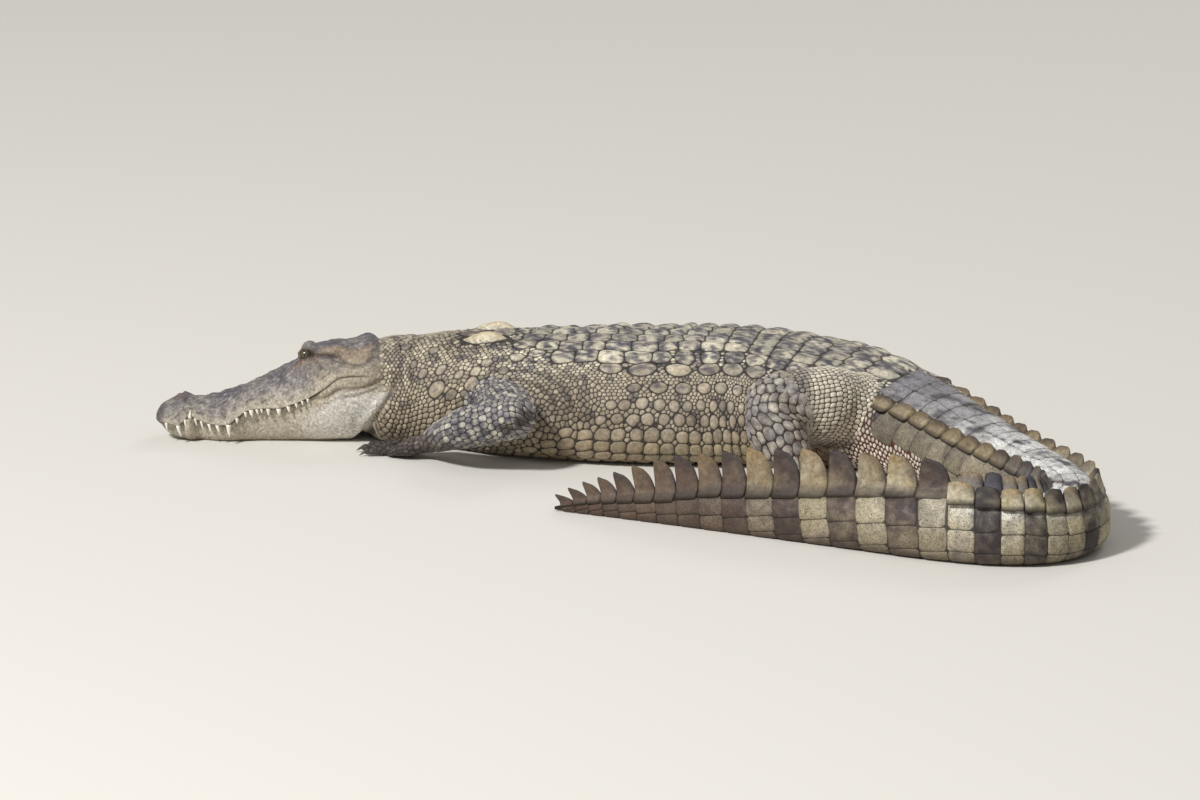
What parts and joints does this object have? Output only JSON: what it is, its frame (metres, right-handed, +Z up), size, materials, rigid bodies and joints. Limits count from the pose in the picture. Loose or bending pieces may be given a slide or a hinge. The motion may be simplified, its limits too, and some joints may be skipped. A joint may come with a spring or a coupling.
{
  "type": "crocodile",
  "caption": "Life-size still model of a marsh crocodile resting flat on its belly, jaws shut, with its long crested tail swung forward along its left side.",
  "frame": {"origin": "middle of the whole animal's box at floor level", "axes": "+Z up from the floor; the head points towards -X; the animal's left side and the swung tail face -Y"},
  "size_m": [1.646, 1.261, 0.1943],
  "materials": {
    "trunk_hide": "dry, warm grey-brown scales with dark brown grooves between them",
    "head_hide": "dry, pale grey-olive bony skin with fine dark speckling, paler on the jaws",
    "leg_hide": "dry, mottled blue-grey scales",
    "tail_hide": "damp, pale ochre and dark brown whorls in turn",
    "eye": "wet, olive-brown with an upright slit pupil",
    "claw": "satin dark horn",
    "tooth": "satin ivory"
  },
  "bodies": {
    "root": {"left_eye": "eye", "right_eye": "eye", "skull": "head_hide", "lower_jaw": "head_hide", "neck": "trunk_hide", "chest": "trunk_hide", "belly": "trunk_hide", "pelvis": "trunk_hide", "tail_1": "tail_hide", "tail_2": "tail_hide", "tail_3": "tail_hide", "tail_4": "tail_hide", "tail_5": "tail_hide", "tail_6": "tail_hide", "tail_7": "tail_hide", "left_upper_arm": "leg_hide", "left_forearm": "leg_hide", "left_front_claw_1": "claw", "left_front_claw_2": "claw", "left_front_claw_3": "claw", "left_hand": "leg_hide", "right_upper_arm": "leg_hide", "right_forearm": "leg_hide", "right_front_claw_1": "claw", "right_front_claw_2": "claw", "right_front_claw_3": "claw", "right_hand": "leg_hide", "left_thigh": "leg_hide", "left_shank": "leg_hide", "left_hind_claw_1": "claw", "left_hind_claw_2": "claw", "left_hind_claw_3": "claw", "left_foot": "leg_hide", "right_thigh": "leg_hide", "right_shank": "leg_hide", "right_hind_claw_1": "claw", "right_hind_claw_2": "claw", "right_hind_claw_3": "claw", "right_foot": "leg_hide"}
  },
  "joints": []
}
